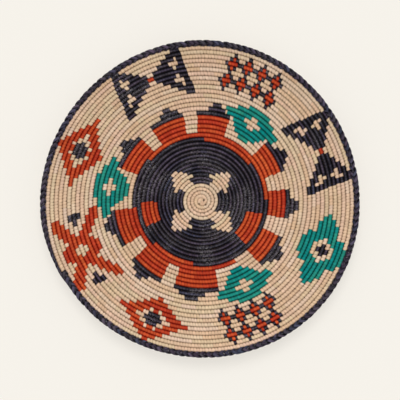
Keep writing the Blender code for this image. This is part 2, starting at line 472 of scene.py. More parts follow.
def map_shifts(count: int, chance: np.random.Generator) -> np.ndarray:
    """Draw how far the maps of copies are moved, so that no two show the same fibres."""
    return np.floor(chance.random((count, 1, 2)) * MAP_SHIFTS)


def build_piece(name: str, parts: PieceMesh, material: bpy.types.Material,
                crease: float) -> bpy.types.Object:
    """Make a mesh object at the origin, with its map, values and material, and its faces outwards.

    Args:
        name: The piece's name.
        parts: Its points, faces and values.
        material: Its finish.
        crease: Angle in degrees over which an edge stays sharp.

    Returns:
        The new object.
    """
    mesh = bpy.data.meshes.new(name)
    mesh.from_pydata(parts.points.tolist(), [], parts.faces)
    mesh.uv_layers.new(name=MAP_NAME).data.foreach_set("uv", parts.uv.astype(np.float32).ravel())
    for value_name, values in parts.values.items():
        attribute = mesh.attributes.new(value_name, "FLOAT", "POINT")
        attribute.data.foreach_set("value", values.astype(np.float32))
    mesh.materials.append(material)
    mesh.update()
    piece = bpy.data.objects.new(name, mesh)
    bpy.context.scene.collection.objects.link(piece)
    deselect_all()
    piece.select_set(True)
    bpy.context.view_layer.objects.active = piece
    bpy.ops.object.mode_set(mode="EDIT")
    finish_editing()
    bpy.ops.object.shade_smooth_by_angle(angle=math.radians(crease))
    return piece


def hang(piece: bpy.types.Object, dye: Dye, *nodes: str) -> None:
    """Put a finished piece on the plate's body and report it.

    Args:
        piece: The piece.
        dye: The dye of the piece; not used.
        nodes: The solids that it stands for, if any.
    """
    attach(piece, "root")
    if nodes:
        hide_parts(*nodes)
    log.info("%s: %d faces", piece.name, len(piece.data.polygons))


@dataclass(frozen=True)
class Wrap:
    """One wrap of flat strand: a closed band round the bundle, crowned along its middle."""

    facets: int = 12
    crown_half_length: float = 0.32
    shoulder: float = 0.80
    tuck: float = 0.11
    overlap: float = 0.03

    def model(self) -> StrandShape:
        """Model the band along X, with a radius of one.

        Returns:
            The band's shape.
        """
        band = start_tube(self.facets, "NOTHING")
        bpy.ops.mesh.subdivide(number_cuts=2)
        # The cuts lie a sixth of the length from the middle.
        choose(band, "VERT", ends=False)
        resize_chosen(self.crown_half_length * 6, 1.0)
        choose(band, "VERT", ends=True)
        resize_chosen(1.0, self.shoulder)
        choose(band, "EDGE", ends=True)
        bpy.ops.mesh.bridge_edge_loops()
        finish_editing()
        return StrandShape.taken_from(band)


@dataclass(frozen=True)
class FlatStrand:
    """A flat strand along X, one long and one in half width, with drawn-in ends."""

    segments: int = 12
    facets: int = 6
    end_share: float = 0.5

    def model(self) -> StrandShape:
        """Model the strand as a closed tube that is flattened where it is laid.

        Returns:
            The strand's shape.
        """
        strand = start_tube(self.facets, "NGON")
        bpy.ops.mesh.subdivide(number_cuts=self.segments - 1)
        choose(strand, "VERT", ends=True)
        resize_chosen(1.0, self.end_share)
        finish_editing()
        return StrandShape.taken_from(strand)

    def gather(self, shape: StrandShape, laid: Sequence[np.ndarray], edge_shade: float,
               chance: np.random.Generator) -> PieceMesh:
        """Gather laid copies of the strand, with painted shade along their edges and at their tucked ends.

        Args:
            shape: The strand as modelled.
            laid: The points of each copy in place.
            edge_shade: How much painted shade the strands' edges get.
            chance: Draws the shades of the copies.

        Returns:
            The mesh of all the copies.
        """
        along, side, _up = shape.points.T
        turned = [index for face in shape.faces for index in face]
        map_once = np.stack((side[turned] / 2 + 0.5, along[turned] + 0.5), axis=-1)
        # Painted shade: the tucked ends are fully dark, and the edges darken where the strands meet their
        # neighbours.
        ends = np.where(np.abs(along) > END_REACH, 1.0, 0.0)
        depth = np.maximum(np.abs(side) ** 3 * edge_shade, ends)
        count = len(laid)
        return shape.laid(np.array(laid), map_once, map_shifts(count, chance), chance.random(count),
                          chance.random(count), depth)


@dataclass(frozen=True)
class Lay:
    """How the wraps of one dye lie on the bundle.

    Fullness is 1 for a round row and less for a boxier one. Crown is how far a wrap's edges lie
    below its middle, and pinch how much narrower it gets where it tucks in, over the given reach.
    Row weight is how much of a wrap's shade comes from its row. Edge shade is how much painted shade
    the seams between wraps get, and groove shade how far up a row's flanks the painted shade of its
    grooves goes.
    """

    fullness: float
    crown: float
    pinch: float
    pinch_reach: float
    row_weight: float
    edge_shade: float
    groove_shade: float


@dataclass
class Winder:
    """Winds copies of one wrap along the rows of the coil."""

    coil: CoilPath
    wrap: Wrap
    first_seed: int = 7000
    lean: float = 0.20
    lean_spread: float = 0.12
    width_spread: float = 0.16
    height_spread: float = 0.06
    lot_lengths: tuple[int, int] = (2, 14)
    open_share: float = 0.12
    open_pinch: float = 2.4
    pinch_limit: float = 0.85
    pinch_growth: float = 1.3
    close_turns: tuple[float, float] = (0.9, 2.4)
    close_ease: tuple[float, float] = (0.2, 1.0)
    holes: tuple[tuple[float, float], ...] = ((143.0, 0.0046), (228.0, 0.0066), (289.0, 0.0030))
    hole_radius: float = 0.0010
    hole_reach: float = 1.6
    hole_pinch: float = 0.6

    def __post_init__(self) -> None:
        """Model the wrap and read off what winding needs."""
        modelled = self.wrap.model()
        x, y, z = modelled.points.T
        around = np.arctan2(z, -y)
        self.along = x
        self.ring = np.hypot(y, z)
        self.cosine = np.cos(around)
        self.sine = np.where(np.abs(z) < ROUNDING, 0.0, np.sin(around))
        self.is_edge = self.ring < 1.0 - ROUNDING
        self.shape = StrandShape(modelled.points, [face[::-1] for face in modelled.faces])
        maps = []
        for face in self.shape.faces:
            turns = around[list(face)] / (2 * math.pi)
            turns = np.where(turns.max() - turns > 0.5, turns + 1.0, turns)
            maps.append(np.stack((x[list(face)] + 0.5, turns), axis=-1))
        self.map_once = np.concatenate(maps)

    def lots(self, count: int, chance: np.random.Generator) -> np.ndarray:
        """Give each wrap the shade of the strand it belongs to, which changes every few wraps.

        Args:
            count: How many wraps there are.
            chance: Draws the strands' lengths and shades.

        Returns:
            The shades, from 0 to 1.
        """
        shades = np.empty(count)
        first = 0
        while first < count:
            length = int(chance.integers(*self.lot_lengths))
            shades[first:first + length] = chance.random()
            first += length
        return shades

    def from_hole(self, points: np.ndarray) -> np.ndarray:
        """Give how far points are, seen from above, from the nearest stitch hole by the middle.

        Args:
            points: The points.

        Returns:
            The distances in metres.
        """
        bearings, radii = np.array(self.holes).T
        x, y = -radii * np.sin(np.radians(bearings)), radii * np.cos(np.radians(bearings))
        return np.hypot(points[..., :1] - x, points[..., 1:2] - y).min(axis=-1)

    def hole_shade(self, points: np.ndarray) -> np.ndarray:
        """Give how much painted shade the wraps get round a stitch hole, where they dip into it."""
        return np.clip(self.hole_reach - self.from_hole(points) / self.hole_radius, 0.0, 1.0)

    def crowned(self, crown: float) -> np.ndarray:
        """Give how far each point is from the wrap's middle line, with its edges sunk by a crown."""
        return np.where(self.is_edge, 1.0 - (1.0 - self.ring) * crown, self.ring)

    def rise(self, fullness: float, ring: np.ndarray) -> np.ndarray:
        """Give how high each point stands, from -1 on the back to 1 on the crest."""
        return np.sign(self.sine) * np.abs(self.sine) ** fullness * ring

    def wind(self, runs: Sequence[WrapRun], wrap_length: float, lay: Lay, seed: int) -> PieceMesh:
        """Wind wraps along runs of a coil.

        Args:
            runs: The runs of one piece.
            wrap_length: Length of row that one wrap covers.
            lay: How the wraps of this dye lie.
            seed: Seed of the small irregularities.

        Returns:
            The mesh of all the wraps.
        """
        chance = np.random.default_rng(self.first_seed + seed)
        centres, widths, row_shades = [], [], []
        for run in runs:
            length = math.radians(run.end - run.start) * self.coil.row_radius((run.start + run.end) / 2)
            count = run.count or max(1, round(length / wrap_length))
            middles, steps = uneven_steps(run.start, run.end, count, self.width_spread, chance)
            centres.append(middles)
            widths.append(steps)
            row_shades.append(np.full(count, chance.random()))
        centre = np.concatenate(centres)
        width = np.concatenate(widths)
        by_row = np.concatenate(row_shades)
        count = len(centre)
        shade = lay.row_weight * by_row + (1.0 - lay.row_weight) * self.lots(count, chance)
        tone = chance.random(count)
        lean = self.lean + jitter(chance, self.lean_spread, count)
        lift = 1.0 + jitter(chance, self.height_spread, count)

        ring = self.crowned(lay.crown)
        reach = np.where(self.cosine > 0, 0.5 + self.wrap.tuck, 0.5 + self.wrap.overlap)
        across = 0.5 - reach * ring * self.cosine
        pinch = lay.pinch * np.where(chance.random(count) < self.open_share, self.open_pinch, 1.0)
        ease = np.interp(centre / FULL_TURN, self.close_turns, self.close_ease)
        tucked = self.coil.place(self.coil.groove(centre / FULL_TURN), centre, np.zeros(count))
        by_hole = self.from_hole(tucked) < 2 * self.hole_radius
        pinch = np.where(by_hole, self.hole_pinch, pinch * ease)
        closeness = np.clip(1.0 - across / lay.pinch_reach, 0.0, self.pinch_growth)
        slimmed = self.along * (1.0 - np.minimum(pinch[:, None] * closeness, self.pinch_limit))
        rise = self.rise(lay.fullness, ring)

        bearing = centre[:, None] + width[:, None] * (slimmed + lean[:, None] * (across - 0.5))
        taper = self.coil.rim_taper(bearing)
        distance = self.coil.groove(bearing / FULL_TURN + across * taper)
        height = self.coil.half_thickness * rise * taper
        height = np.where(height < 0, height * self.coil.back_share(distance), height * lift[:, None])
        points = self.coil.place(distance, bearing, height)

        # Painted shade: the rows' flanks darken towards the grooves and the seams between wraps darken; round
        # the stitch holes the wraps darken too, all as the depth value.
        painted_shade_amount = np.clip((1.0 - np.abs(rise)) * lay.groove_shade, 0.0, 1.0)
        painted_shade_amount = np.maximum(painted_shade_amount, np.where(self.is_edge, lay.edge_shade, 0.0))
        depth = np.maximum(painted_shade_amount[None, :] * ease[:, None], self.hole_shade(points))
        return self.shape.laid(points, self.map_once, map_shifts(count, chance), tone, shade, depth)


class NodeSheet:
    """A node tree, with short calls for the nodes that these finishes use."""

    def __init__(self, tree: bpy.types.NodeTree) -> None:
        """Take up a tree."""
        self.tree = tree

    def node(self, kind: str, inputs: dict[str, object] | None = None, **settings: object) -> bpy.types.Node:
        """Add a node.

        Args:
            kind: The kind of node.
            inputs: Values for its sockets, by their names.
            settings: Values for its properties.

        Returns:
            The node.
        """
        made = self.tree.nodes.new(kind)
        for key, value in settings.items():
            setattr(made, key, value)
        for name, value in (inputs or {}).items():
            made.inputs[name].default_value = value
        return made

    def link(self, source: Socket, target: Socket) -> None:
        """Join two sockets."""
        self.tree.links.new(source, target)

    def fill(self, socket: Socket, source: float | Colour | Socket) -> None:
        """Give a socket a number, a colour or what another socket gives.

        Args:
            socket: The socket.
            source: What it gets.
        """
        if isinstance(source, bpy.types.NodeSocket):
            self.link(source, socket)
        else:
            socket.default_value = (*source, 1.0) if isinstance(source, tuple) else source

    def value(self, name: str) -> Socket:
        """Read one of the piece's own values."""
        return self.node("ShaderNodeAttribute", attribute_name=name).outputs["Fac"]

    def ramp(self, source: Socket, stops: Sequence[tuple[float, Colour]]) -> Socket:
        """Turn a value into a colour along a ramp.

        Args:
            source: The value.
            stops: Positions from 0 to 1, each with its colour.

        Returns:
            The colour socket.
        """
        ramp = self.node("ShaderNodeValToRGB")
        while len(ramp.color_ramp.elements) < len(stops):
            ramp.color_ramp.elements.new(0.5)
        for element, (position, colour) in zip(ramp.color_ramp.elements, stops):
            element.position = position
            element.color = (*colour, 1.0)
        self.link(source, ramp.inputs["Fac"])
        return ramp.outputs["Color"]

    def greys(self, source: Socket, span: tuple[float, float], low: float = 0.0, high: float = 1.0) -> Socket:
        """Turn a value into a grey that goes from low to high over a span of the value."""
        return self.ramp(source, ((span[0], (low,) * 3), (span[1], (high,) * 3)))

    def mix(self, blend: str, amount: float | Socket, first: Socket, second: Colour | Socket) -> Socket:
        """Mix two colours.

        Args:
            blend: The way they mix, such as MIX or MULTIPLY.
            amount: How much of the second goes in.
            first: The first colour.
            second: The second colour.

        Returns:
            The mixed colour's socket.
        """
        mixer = self.node("ShaderNodeMix", data_type="RGBA", blend_type=blend)
        for number, source in zip(MIX_SOCKETS, (amount, first, second)):
            self.fill(mixer.inputs[number], source)
        return mixer.outputs[MIX_RESULT]

    def varied(self, colour: Socket, source: Socket, span: tuple[float, float], spread: float) -> Socket:
        """Darken a colour by a spread where a value is low, and lighten it half as much where high."""
        shade = self.greys(source, span, 1.0 - spread, 1.0 + spread / 2)
        return self.mix("MULTIPLY", 1.0, colour, shade)

    def combine(self, operation: str, first: Socket, second: float | Socket) -> Socket:
        """Work a value out from two.

        Args:
            operation: What is done with them, such as MULTIPLY or MAXIMUM.
            first: The first value.
            second: The second value.

        Returns:
            The result's socket.
        """
        step = self.node("ShaderNodeMath", operation=operation)
        self.fill(step.inputs[0], first)
        self.fill(step.inputs[1], second)
        return step.outputs[0]

    def mix_shaders(self, amount: Socket, first: Socket, second: Socket) -> Socket:
        """Mix two shaders.

        Args:
            amount: How much of the second goes in.
            first: The first shader.
            second: The second shader.

        Returns:
            The mixed shader's socket.
        """
        mixer = self.node("ShaderNodeMixShader")
        for socket, source in zip(mixer.inputs, (amount, first, second)):
            self.link(source, socket)
        return mixer.outputs["Shader"]


class MaterialSheet(NodeSheet):
    """A material's node tree, with its Principled shader and the patterns of plant fibre."""

    def __init__(self, name: str, roughness: float, gloss: float = 0.5) -> None:
        """Start a material.

        Args:
            name: The material's name.
            roughness: How rough the surface is.
            gloss: How much it mirrors head on.
        """
        self.material = bpy.data.materials.new(name)
        self.material.use_nodes = True
        super().__init__(self.material.node_tree)
        self.shader = self.tree.nodes["Principled BSDF"]
        self.fill(self.shader.inputs["Roughness"], roughness)
        self.fill(self.shader.inputs["Specular IOR Level"], gloss)

    def along_strand(self, scale: tuple[float, float, float], detail: float) -> Socket:
        """Add a noise pattern on a piece's own map.

        Args:
            scale: How often it repeats across the strand and along it.
            detail: How many finer layers it has.

        Returns:
            The pattern's value.
        """
        chart = self.node("ShaderNodeUVMap", uv_map=MAP_NAME)
        stretch = self.node("ShaderNodeMapping", {"Scale": scale})
        self.link(chart.outputs["UV"], stretch.inputs["Vector"])
        pattern = self.node("ShaderNodeTexNoise", {"Scale": 1.0, "Detail": detail}, noise_dimensions="2D")
        self.link(stretch.outputs["Vector"], pattern.inputs["Vector"])
        return pattern.outputs["Fac"]

    def over_plate(self, scale: float, detail: float) -> Socket:
        """Add a noise pattern that goes on over the whole plate.

        Args:
            scale: How often it repeats in one metre.
            detail: How many finer layers it has.

        Returns:
            The pattern's value.
        """
        place = self.node("ShaderNodeTexCoord")
        pattern = self.node("ShaderNodeTexNoise", {"Scale": scale, "Detail": detail}, noise_dimensions="3D")
        self.link(place.outputs["Object"], pattern.inputs["Vector"])
        return pattern.outputs["Fac"]

    def finished(self, colour: Socket, relief: Socket, strength: float, rise: float,
                 plain: ScreenColour) -> bpy.types.Material:
        """Give the shader its colour and its bumps.

        Args:
            colour: The surface colour.
            relief: A value from 0 to 1 that raises the surface.
            strength: How strongly the relief shows.
            rise: Its rise in metres.
            plain: The colour that stands for the material in a plain view.

        Returns:
            The material.
        """
        bump = self.node("ShaderNodeBump", {"Strength": strength, "Distance": rise})
        self.link(relief, bump.inputs["Height"])
        self.link(bump.outputs["Normal"], self.shader.inputs["Normal"])
        self.link(colour, self.shader.inputs["Base Color"])
        self.material.diffuse_color = (*linear(plain), 1.0)
        return self.material


@dataclass(frozen=True)
class StrandFinish:
    """The finish of a flat plant-fibre strand of one dye.

    Spread is how much wraps differ in shade, and streaks how much the fibres of one wrap do.
    Flecks are pale specks that show in patches.
    """

    name: str
    lots: tuple[ScreenColour, ...]
    spread: float
    streaks: float
    # groove is the colour of painted shade, mixed in where the depth value is high: in the grooves, at the
    # seams between wraps and round the stitch holes.
    groove: ScreenColour
    painted_groove_share: float
    roughness: float
    lay: Lay
    flecks: ScreenColour | None = None
    gloss: float = 0.05
    fibre_scale: tuple[float, float, float] = (9.0, 2.0, 1.0)
    fibre_relief: float = 0.5
    fibre_rise: float = 0.0003
    ageing_scale: float = 16.0
    aged_dark: Colour = (0.95, 0.94, 0.92)
    aged_light: Colour = (1.03, 1.03, 1.03)
    fleck_scale: tuple[float, float, float] = (10.0, 5.0, 1.0)
    fleck_range: tuple[float, float] = (0.66, 0.73)
    fleck_share: float = 0.75
    patch_scale: float = 30.0
    patch_range: tuple[float, float] = (0.44, 0.58)

    def material(self) -> bpy.types.Material:
        """Make the material: shades by strand and by wrap, fibre streaks, and painted shade in the grooves.

        Returns:
            The material.
        """
        sheet = MaterialSheet(self.name, self.roughness, self.gloss)
        last = len(self.lots) - 1
        stops = [(number / last, linear(shade)) for number, shade in enumerate(self.lots)]
        colour = sheet.ramp(sheet.value("lot"), stops)
        colour = sheet.varied(colour, sheet.value("tone"), (0.0, 1.0), self.spread)
        fibres = sheet.along_strand(self.fibre_scale, detail=3.0)
        colour = sheet.varied(colour, fibres, NOISE_RANGE, self.streaks)
        ageing = sheet.over_plate(self.ageing_scale, detail=4.0)
        aged = sheet.ramp(ageing, tuple(zip(NOISE_RANGE, (self.aged_dark, self.aged_light))))
        colour = sheet.mix("MULTIPLY", 1.0, colour, aged)
        # Painted shade: the groove colour is mixed in by the depth value, up to the groove share.
        painted_shade_amount = sheet.combine("MULTIPLY", sheet.value("depth"), self.painted_groove_share)
        colour = sheet.mix("MIX", painted_shade_amount, colour, linear(self.groove))
        if self.flecks:
            colour = self.speckled(sheet, colour, linear(self.flecks))
        return sheet.finished(colour, fibres, self.fibre_relief, self.fibre_rise, self.lots[0])

    def speckled(self, sheet: MaterialSheet, colour: Socket, pale: Colour) -> Socket:
        """Let pale specks show in patches.

        Args:
            sheet: The material's sheet.
            colour: The colour so far.
            pale: The colour of the specks.

        Returns:
            The colour with the fibres in it.
        """
        flecks = sheet.greys(sheet.along_strand(self.fleck_scale, detail=0.0), self.fleck_range)
        patches = sheet.greys(sheet.over_plate(self.patch_scale, detail=2.0), self.patch_range)
        shown = sheet.combine("MULTIPLY", sheet.combine("MULTIPLY", flecks, patches), self.fleck_share)
        return sheet.mix("MIX", shown, colour, pale)


@dataclass(frozen=True)
class BundleFinish:
    """The loose grass of the bundle, which shows only down between the wraps and is coloured dark as painted
    shade.
    """

    name: str = "grass_bundle"
    # Both colours are darker than the grass, to paint the shade in the gaps between wraps.
    light: ScreenColour = (86, 58, 32)
    dark: ScreenColour = (40, 25, 12)
    roughness: float = 0.9
    stalk_scale: tuple[float, float, float] = (0.6, 14.0, 1.0)
    stalk_relief: float = 0.7
    stalk_rise: float = 0.0004

    def material(self) -> bpy.types.Material:
        """Make the material: stalks that run along the row.

        Returns:
            The material.
        """
        sheet = MaterialSheet(self.name, self.roughness)
        stalks = sheet.along_strand(self.stalk_scale, detail=2.0)
        colour = sheet.ramp(stalks, tuple(zip(NOISE_RANGE, (linear(self.dark), linear(self.light)))))
        return sheet.finished(colour, stalks, self.stalk_relief, self.stalk_rise, self.light)


# Each groove colour below is painted shade, not a dye.
FINISHES = {
    Dye.NATURAL: StrandFinish(
        "natural_strand", spread=0.10, streaks=0.08, groove=(84, 48, 16), painted_groove_share=0.95, roughness=0.7,
        lots=((243, 209, 178), (239, 204, 169), (236, 210, 174), (245, 215, 190), (236, 199, 163),
              (243, 206, 180), (241, 208, 174)),
        lay=Lay(fullness=0.62, crown=0.55, pinch=0.24, pinch_reach=0.25, row_weight=0.15, edge_shade=0.28,
                groove_shade=1.6)),
    # The navy lots are set light to paint a highlight along each crest, and the high groove shade paints
    # shade over most of each row's flanks.
    Dye.NAVY: StrandFinish(
        "navy_strand", spread=0.36, streaks=0.34, groove=(3, 3, 9), painted_groove_share=1.0, roughness=0.6,
        lots=((78, 78, 100), (98, 86, 104), (88, 81, 89), (66, 64, 76), (92, 78, 96), (77, 82, 104)),
        flecks=(160, 154, 156),
        lay=Lay(fullness=0.95, crown=0.4, pinch=0.28, pinch_reach=0.22, row_weight=0.4, edge_shade=0.35,
                groove_shade=6.5)),
    Dye.RUST: StrandFinish(
        "rust_strand", spread=0.20, streaks=0.26, groove=(128, 0, 0), painted_groove_share=1.0, roughness=0.66,
        lots=((234, 112, 60), (220, 92, 52), (204, 72, 46), (228, 102, 54), (212, 82, 52)),
        lay=Lay(fullness=0.80, crown=0.4, pinch=0.24, pinch_reach=0.2, row_weight=0.6, edge_shade=0.2,
                groove_shade=3.8)),
    Dye.TEAL: StrandFinish(
        "teal_strand", spread=0.18, streaks=0.18, groove=(0, 64, 58), painted_groove_share=1.0, roughness=0.66,
        lots=((34, 158, 145), (10, 146, 143), (52, 162, 141), (8, 138, 133)),
        lay=Lay(fullness=0.76, crown=0.4, pinch=0.24, pinch_reach=0.2, row_weight=0.5, edge_shade=0.2,
                groove_shade=2.8)),
}

RIM_FINISH = replace(FINISHES[Dye.NAVY], name="rim_strand", spread=0.42, flecks=None)


def mirrored(*lines: str) -> tuple[str, ...]:
    """Complete a chart that is the same on both sides of its last given line."""
    return lines + lines[-2::-1]


@dataclass
class Pattern:
    """Where each dye lies: the traditional ring, disc and base row, and the counted figures.

    A block's bearings are its start, the starts of its terrace's second and third step, the ends
    of the third and second step, and the block's end.
    """

    coil: CoilPath
    wrap_length: float = 0.0037
    stagger_share: float = 0.2
    stagger_seed: int = 11
    centre_end: float = 4 * FULL_TURN + 235.0
    base_lap: int = 16
    ring_lap: int = 17
    block_laps: int = 4
    terrace_laps: int = 3
    field_lap: int = 24
    field_split_lap: int = 31
    disc_blocks: tuple[tuple[int, float, float], ...] = ((11, 451.0, 475.0), (12, 226.0, 258.0))
    base_rust_arcs: tuple[tuple[float, float], ...] = ((271.0, 412.0), (456.0, 570.0))
    second_rust_arcs: tuple[tuple[float, float], ...] = ((308.0, 358.0), (492.0, 532.0))
    blocks: tuple[tuple[float, ...], ...] = (
        (223.0, 228.0, 232.0, 238.0, 240.0, 246.0), (258.0, 262.0, 264.0, 270.0, 272.0, 278.0),
        (290.0, 294.0, 297.0, 302.0, 305.0, 312.0), (341.0, 345.0, 348.0, 353.0, 356.0, 363.0),
        (372.0, 375.0, 379.0, 384.0, 387.0, 395.0), (404.0, 408.0, 411.0, 416.0, 419.0, 428.0),
        (456.0, 460.0, 463.0, 468.0, 471.0, 480.0), (490.0, 494.0, 498.0, 502.0, 505.0, 513.0),
        (522.0, 526.0, 530.0, 538.0, 542.0, 551.0))
    star_arms: int = 4
    star_lap: int = 4
    star_bearing: float = 315.0
    diamond_lap: int = 18
    diamond_bearings: tuple[float, ...] = (326.5, 441.5, 567.0)
    figure_bearing: float = 337.5
    figure_half_width: float = 15.0
    tallest_figure: int = 11
    figure_margin: int = 2

    STAR_ARM = (
        "...W",
        "..WW",
        ".WWW",
        "WWWW",
        "..WW",
        "..WW",
    )
    RING_DIAMOND = (
        "......TTTT",
        "...TTTTTTT",
        "TTTTTTTTT.",
        ".TTTTTT...",
        "....TTTTT.",
        ".....TTTTT",
        "......TTTT",
        "........TT",
    )
    WINGS = mirrored(
        "NNN.........",
        "NNNNN.......",
        "NN.NNNN.....",
        "NN...NNNN...",
        "NNN.NNNNNNN.",
        "NNNNNNNNNNNR",
    )
    DIAMOND = mirrored(
        "...........R",
        ".........RRR",
        ".......RRRRR",
        ".....RRRRR.R",
        "...RRRRR..NN",
        "RRRRRR...NNN",
    )
    STEPS = mirrored(
        "RRRR........",
        "RRRRRR....RR",
        "..RRRRRR.RRR",
        "....RRRRRRRR",
        "NN....RRRRR.",
        "NNNN...RRR..",
    )
    CROSS = mirrored(
        ".........TTT",
        ".......TTTTT",
        ".......TTTTT",
        "...TTTTTTT..",
        ".TTTTTTTT..N",
        "TTTTTTTT..NN",
    )
    CHAINS = mirrored(
        "..N....N..",
        ".NRN..NRN.",
        "NRRRNNRRRN",
        ".NRN..NRN.",
        "..N....N..",
    )

    def lap_end(self, lap: int) -> float:
        """Give the bearing at which a lap ends and the next one starts."""
        return lap * FULL_TURN + (SEAM_BEARING + FULL_TURN)

    def areas(self) -> list[Area]:
        """List the areas of the ground pattern, from the middle to the rim, without the blocks.

        Returns:
            The areas.
        """
        disc_end, field_start, split = (
            self.lap_end(lap - 1) for lap in (self.base_lap, self.field_lap, self.field_split_lap))
        long_areas = (
            ("centre_wraps", Dye.NATURAL, self.coil.start, self.centre_end),
            ("disc_wraps", Dye.NAVY, self.centre_end, disc_end),
            ("field_inner_wraps", Dye.NATURAL, field_start, split),
            ("field_outer_wraps", Dye.NATURAL, split, self.coil.rim_start),
            ("rim_wraps", Dye.NAVY, self.coil.rim_start, self.coil.end))
        listed = [Area(name, dye, 0, 1, begin, end) for name, dye, begin, end in long_areas]
        first, last = SEAM_BEARING, SEAM_BEARING + FULL_TURN
        edges = sorted({first, last}.union(*self.base_rust_arcs))
        counts = {Dye.NAVY: 0, Dye.RUST: 0}
        for begin, end in zip(edges, edges[1:]):
            dye = Dye.RUST if (begin, end) in self.base_rust_arcs else Dye.NAVY
            counts[dye] += 1
            name = f"base_row_{dye.name.lower()}_wraps_{counts[dye]}"
            listed.append(Area(name, dye, self.base_lap, 1, begin, end))
        starts = [first] + [block[-1] for block in self.blocks]
        ends = [block[0] for block in self.blocks] + [last]
        for number, (begin, end) in enumerate(zip(starts, ends), 1):
            listed.append(Area(f"gap_wraps_{number}", Dye.NATURAL, self.ring_lap,
                               self.field_lap - self.ring_lap, begin, end))
        return listed

    def block_areas(self) -> list[Area]:
        """List the rust blocks, the steps of the navy terraces on them and the gaps beside these.

        Returns:
            The areas.
        """
        listed = []
        for number, block in enumerate(self.blocks, 1):
            begin, end = block[0], block[-1]
            listed.append(Area(f"rust_block_wraps_{number}", Dye.RUST, self.ring_lap, self.block_laps,
                               begin, end))
            for step in range(self.terrace_laps):
                lap = self.ring_lap + self.block_laps + step
                left, right = block[step], block[-1 - step]
                listed.append(Area(f"terrace_wraps_{number}", Dye.NAVY, lap, 1, left, right))
                if step:
                    listed.append(Area(f"gap_wraps_{number}", Dye.NATURAL, lap, 1, begin, left))
                    listed.append(Area(f"gap_wraps_{number + 1}", Dye.NATURAL, lap, 1, right, end))
        return listed

    def covers(self) -> list[WrapRun]:
        """List what lies over the ground: blocks and arcs in the disc, and the counted figures.

        Returns:
            The runs, each to be laid over those before it.
        """
        laid = []
        for number, (lap, begin, end) in enumerate(self.disc_blocks, 1):
            laid += Area(f"disc_block_wraps_{number}", Dye.RUST, lap, self.block_laps, begin, end).runs()
        for begin, end in self.second_rust_arcs:
            laid += Area("disc_arc_wraps", Dye.RUST, self.base_lap - 1, 1, begin, end).runs()
        for motif in self.motifs():
            laid += motif.runs(self.coil, self.wrap_length)
        return laid

    def figure_lap(self, chart: Sequence[str], bearing: float) -> int:
        """Give the innermost lap of a field figure, one less past the bearing where the rim starts.

        Args:
            chart: The figure's chart.
            bearing: The bearing of its middle.

        Returns:
            The lap.
        """
        first = self.field_lap + self.figure_margin + (self.tallest_figure - len(chart)) // 2
        rim_start = self.coil.rim_start % FULL_TURN + FULL_TURN
        return first - 1 if bearing > rim_start - self.figure_half_width else first

    def motifs(self) -> list[Motif]:
        """List the counted figures: a star in the disc, diamonds in the ring, eight in the field.

        Returns:
            The figures.
        """
        listed = []
        for number in range(self.star_arms):
            bearing = self.star_bearing + FULL_TURN / self.star_arms * number
            listed.append(Motif(self.STAR_ARM, bearing, self.star_lap, {"W": "disc_star_wraps"}))
        for number, bearing in enumerate(self.diamond_bearings, 1):
            names = {"T": f"ring_diamond_wraps_{number}"}
            listed.append(Motif(self.RING_DIAMOND, bearing, self.diamond_lap, names))
        names = {"N": "field_navy_wraps", "R": "field_rust_wraps", "T": "field_teal_wraps"}
        figures = (self.CHAINS, self.WINGS, self.DIAMOND, self.STEPS,
                   self.DIAMOND, self.CHAINS, self.CROSS, self.WINGS)
        for number, chart in enumerate(figures):
            bearing = self.figure_bearing + FULL_TURN / len(figures) * number
            bearing = bearing if bearing < SEAM_BEARING + FULL_TURN else bearing - FULL_TURN
            listed.append(Motif(chart, bearing, self.figure_lap(chart, bearing), names))
        return listed

    def runs(self) -> list[WrapRun]:
        """Give every run of wraps on the plate, in order along the coil.

        Returns:
            The runs.
        """
        ground = [run for area in self.areas() + self.block_areas() for run in area.runs()]
        for cover in self.covers():
            ground = lay_over(ground, cover)
        return self.stagger(sorted(ground, key=lambda run: run.start))

    def stagger(self, ordered: list[WrapRun]) -> list[WrapRun]:
        """Move each boundary between two runs by part of a wrap, as the rows' wraps don't line up.

        Args:
            ordered: All runs in order along the coil.

        Returns:
            The same runs with their shared boundaries moved.
        """
        chance = np.random.default_rng(self.stagger_seed)
        moved = list(ordered)
        for number in range(1, len(moved)):
            start = moved[number].start
            wrap_angle = self.coil.angle_of(self.wrap_length, start)
            boundary = start + jitter(chance, wrap_angle * self.stagger_share)
            moved[number - 1] = replace(moved[number - 1], end=boundary)
            moved[number] = replace(moved[number], start=boundary)
        return moved


@dataclass
class WoundRows:
    """All the wrapped rows, from the centre to the rim, one piece for each area of one dye."""

    pattern: Pattern
    winder: Winder
    materials: dict[Dye, bpy.types.Material]
    crease: float = 50.0

    NODES = {
        "centre_wraps": ("centre_coil",),
        "rim_wraps": ("rim_braid",),
        "ring_diamond_wraps_1": ("natural_gap_4", "field_coil"),
        "ring_diamond_wraps_2": ("natural_gap_7", "field_coil"),
        "ring_diamond_wraps_3": ("natural_gap_10", "natural_gap_1", "field_coil"),
    }
    STEMS = {"disc": "navy_disc", "field": "field_coil", "gap": "natural_gap"}

    def nodes_of(self, piece: str) -> tuple[str, ...]:
        """Name the solids that a piece stands for.

        Args:
            piece: The piece's name. A number at its end is that of its solid.

        Returns:
            The solids' names.
        """
        if piece in self.NODES:
            return self.NODES[piece]
        stem, _wraps, number = piece.partition("_wraps")
        if number:
            return (self.STEMS.get(stem, stem) + number,)
        return (self.STEMS[stem.split("_")[0]],)

    def build(self) -> None:
        """Wind every piece and hang it on the plate's body."""
        by_piece: dict[str, list[WrapRun]] = {}
        for run in self.pattern.runs():
            by_piece.setdefault(run.piece, []).append(run)
        for number, (name, runs) in enumerate(sorted(by_piece.items())):
            dye = runs[0].dye
            parts = self.winder.wind(runs, self.pattern.wrap_length, FINISHES[dye].lay, number)
            piece = build_piece(name, parts, self.materials[dye], self.crease)
            hang(piece, dye, *self.nodes_of(name))


